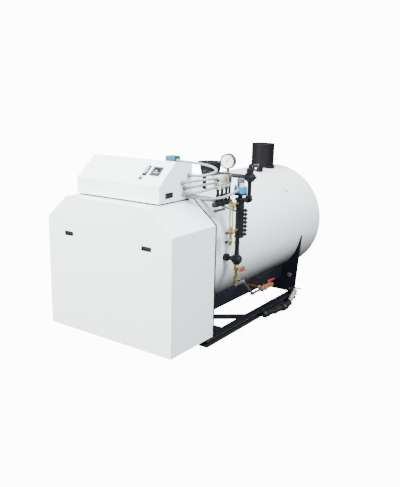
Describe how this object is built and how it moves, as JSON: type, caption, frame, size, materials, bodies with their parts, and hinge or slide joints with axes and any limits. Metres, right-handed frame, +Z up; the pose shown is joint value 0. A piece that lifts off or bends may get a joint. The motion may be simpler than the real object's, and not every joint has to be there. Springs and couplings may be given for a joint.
{
  "type": "packaged fire-tube boiler",
  "caption": "Horizontal cylindrical steam boiler on a skid, with a boxed front cabinet, sloping control desk, flue outlet, steam outlet, water column and gauges.",
  "frame": {"origin": "on the floor, in the middle of the overall width and length", "axes": "+X to the right of the front cabinet, +Y from the front cabinet to the rear end, +Z up"},
  "size_m": [1.3384, 2.585, 1.519],
  "materials": {
    "skid_black": "satin black paint",
    "jacket_white": "gloss white paint",
    "cabinet_white": "white powder coat",
    "trim_black": "black edge strip",
    "pull_black": "black moulded cup",
    "screen": "dark display panel",
    "stack_black": "matt black heat paint",
    "pipe_black": "black malleable iron",
    "teal": "teal paint",
    "cutoff_blue": "light blue cover",
    "control_grey": "pale grey-green cover",
    "gauge_white": "bright bezel, white dial",
    "glass": "clear gauge glass",
    "brass": "dull brass",
    "copper": "copper and bronze",
    "steel_pipe": "grey steel",
    "knob_black": "black knob",
    "wheel_red": "red paint",
    "lever_dark_red": "dark red dipped grip",
    "gland_grey": "grey connector",
    "conduit_grey": "light grey ribbed conduit"
  },
  "bodies": {
    "boiler": {"actuator_conduit": "conduit_grey", "actuator_post": "pipe_black", "base_brace_left": "skid_black", "base_brace_right": "skid_black", "base_rail_left": "skid_black", "base_rail_right": "skid_black", "blowdown_line": "pipe_black", "blowdown_valve": "steel_pipe", "cabinet_back": "cabinet_white", "cabinet_floor": "cabinet_white", "cabinet_front": "cabinet_white", "cabinet_pulls": "pull_black", "cabinet_roof": "cabinet_white", "cabinet_side_left": "cabinet_white", "cabinet_side_right": "cabinet_white", "cabinet_trim": "trim_black", "column_conduit": "conduit_grey", "column_riser": "pipe_black", "control_desk": "cabinet_white", "cutoff_base": "pipe_black", "cutoff_conduit": "conduit_grey", "cutoff_head": "cutoff_blue", "desk_glands": "gland_grey", "desk_latch": "pull_black", "desk_plinth": "trim_black", "desk_screen": "screen", "desk_switches": "pull_black", "drain_fittings": "copper", "drain_pipe": "steel_pipe", "drain_valves": "brass", "flue_stack": "stack_black", "flue_switch": "stack_black", "front_cross_member": "skid_black", "front_plate": "jacket_white", "front_saddle": "skid_black", "gauge_glass": "glass", "gauge_knobs": "knob_black", "gauge_riser": "pipe_black", "gauge_valves": "brass", "lower_control_conduit": "conduit_grey", "lower_pipe": "pipe_black", "manifold": "pipe_black", "middle_control_conduit": "conduit_grey", "pressure_controls": "control_grey", "pressure_gauge": "gauge_white", "rear_head": "jacket_white", "rear_saddle": "skid_black", "rear_valve": "steel_pipe", "shell": "jacket_white", "shell_rail_left": "skid_black", "shell_rail_right": "skid_black", "steam_nozzle": "stack_black", "steam_pipe": "pipe_black", "upper_control_conduit": "conduit_grey", "vent_actuator": "teal", "water_column": "pipe_black"},
    "handwheel": {"handwheel": "wheel_red"},
    "ball_lever": {"ball_lever": "knob_black"},
    "blow_lever": {"blow_lever": "wheel_red"},
    "rear_lever": {"rear_lever": "lever_dark_red"}
  },
  "joints": [
    {"name": "handwheel_turn", "type": "hinge", "parent": "boiler", "child": "handwheel", "pos_m": [0.65341, -0.56722, 0.654], "axis": [0.9272, -0.3746, 0], "range_deg": [0, 720]},
    {"name": "ball_lever_turn", "type": "hinge", "parent": "boiler", "child": "ball_lever", "pos_m": [0.62409, -0.5395, 0.556], "axis": [1, 0, 0], "range_deg": [-90, 0]},
    {"name": "blow_lever_turn", "type": "hinge", "parent": "boiler", "child": "blow_lever", "pos_m": [0.43479, 0.2965, 0.3063], "axis": [0, 0, 1], "range_deg": [-90, 0]},
    {"name": "rear_lever_turn", "type": "hinge", "parent": "boiler", "child": "rear_lever", "pos_m": [0.37479, 0.9135, 0.0793], "axis": [0, 0, 1], "range_deg": [0, 90]}
  ]
}
